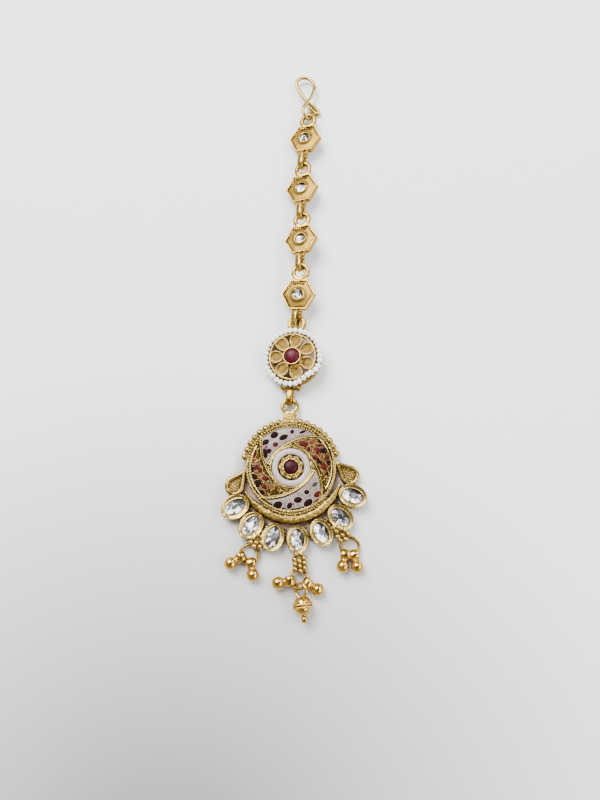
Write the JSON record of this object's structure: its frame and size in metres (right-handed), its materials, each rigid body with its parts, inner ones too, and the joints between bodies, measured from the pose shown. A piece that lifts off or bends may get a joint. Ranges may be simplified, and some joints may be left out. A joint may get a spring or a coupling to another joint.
{
  "type": "maang tikka",
  "caption": "Maang tikka in antique gold lying on its back: wire hook, hexagonal stone-set links, pearl disc and enamelled round pendant with oval stones, crescent and hanging ball drops.",
  "frame": {"origin": "middle of the whole piece's box in X and Y, at the height of the surface it lies on", "axes": "+Y along the piece towards the hook, +X to the viewer's right, +Z out of the fronts of the stones"},
  "size_m": [0.0354, 0.1476, 0.0062],
  "materials": {
    "antique_gold": "antique gold plating, satin with darker recesses",
    "bright_gold": "polished gold plating",
    "pale_gold": "polished pale gold plating",
    "clear_stone": "cut clear stone with a foil back",
    "ruby": "pink-red domed stone",
    "dark_ruby": "dark red domed stone",
    "pearl": "glossy pearl",
    "white_enamel": "glossy enamel",
    "red_enamel": "glossy enamel"
  },
  "bodies": {
    "root": {"ball_drop_1": "bright_gold", "ball_drop_2": "bright_gold", "ball_drop_3": "bright_gold", "ball_drop_4": "bright_gold", "ball_drop_5": "bright_gold", "ball_drop_6": "bright_gold", "centre_drop": "bright_gold", "centre_ruby": "dark_ruby", "disc_casting": "antique_gold", "disc_ruby": "ruby", "enamel_field_1": "red_enamel", "enamel_field_2": "white_enamel", "enamel_field_3": "red_enamel", "enamel_field_4": "white_enamel", "enamel_ring": "white_enamel", "hook": "pale_gold", "jump_ring_1": "bright_gold", "jump_ring_2": "bright_gold", "jump_ring_3": "bright_gold", "link_1": "antique_gold", "link_2": "antique_gold", "link_3": "antique_gold", "link_4": "antique_gold", "link_stone_1": "clear_stone", "link_stone_2": "clear_stone", "link_stone_3": "clear_stone", "link_stone_4": "clear_stone", "oval_stone_1": "clear_stone", "oval_stone_2": "clear_stone", "oval_stone_3": "clear_stone", "oval_stone_4": "clear_stone", "oval_stone_5": "clear_stone", "oval_stone_6": "clear_stone", "oval_stone_7": "clear_stone", "pearl_string": "pearl", "pendant_frame": "antique_gold", "rosette_collar": "antique_gold"}
  },
  "joints": []
}
